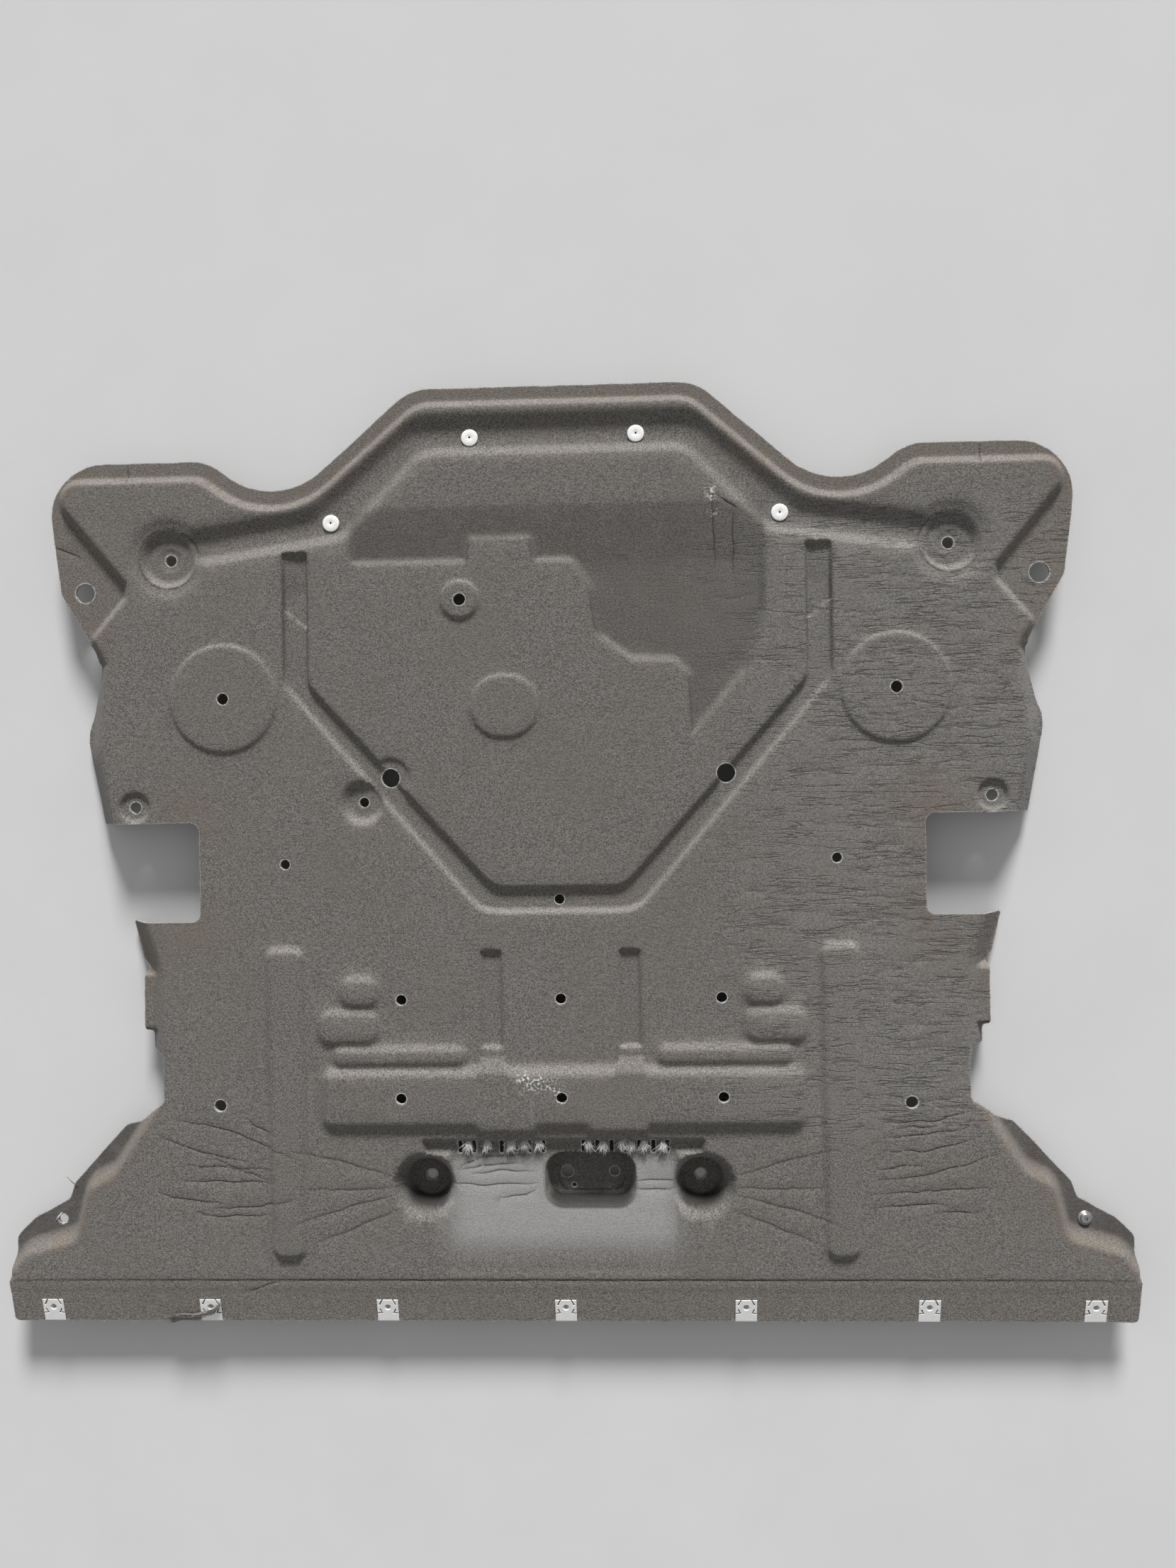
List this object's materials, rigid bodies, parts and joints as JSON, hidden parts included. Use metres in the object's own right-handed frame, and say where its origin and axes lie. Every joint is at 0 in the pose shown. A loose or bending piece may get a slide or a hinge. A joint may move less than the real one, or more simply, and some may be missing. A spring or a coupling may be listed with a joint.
{
  "type": "engine splash shield",
  "caption": "Moulded felt shield that bolts under a car's engine bay, with sunk bolt cups, ribs, side notches and spring clip nuts along its front edge.",
  "frame": {"origin": "middle of the plan box, on the floor that the skirts and the front cups rest on", "axes": "+X across the car to the screw's side, +Y to the rear edge, +Z out of the road side"},
  "size_m": [1.22, 1.015, 0.052],
  "materials": {
    "felt": "matte needled felt",
    "zinc": "zinc plated",
    "white_nylon": "moulded",
    "screw_steel": "dull plated"
  },
  "bodies": {
    "root": {"felt_panel": "felt", "clip_nuts": "zinc", "push_rivets": "white_nylon", "flange_screw": "screw_steel"}
  },
  "joints": []
}
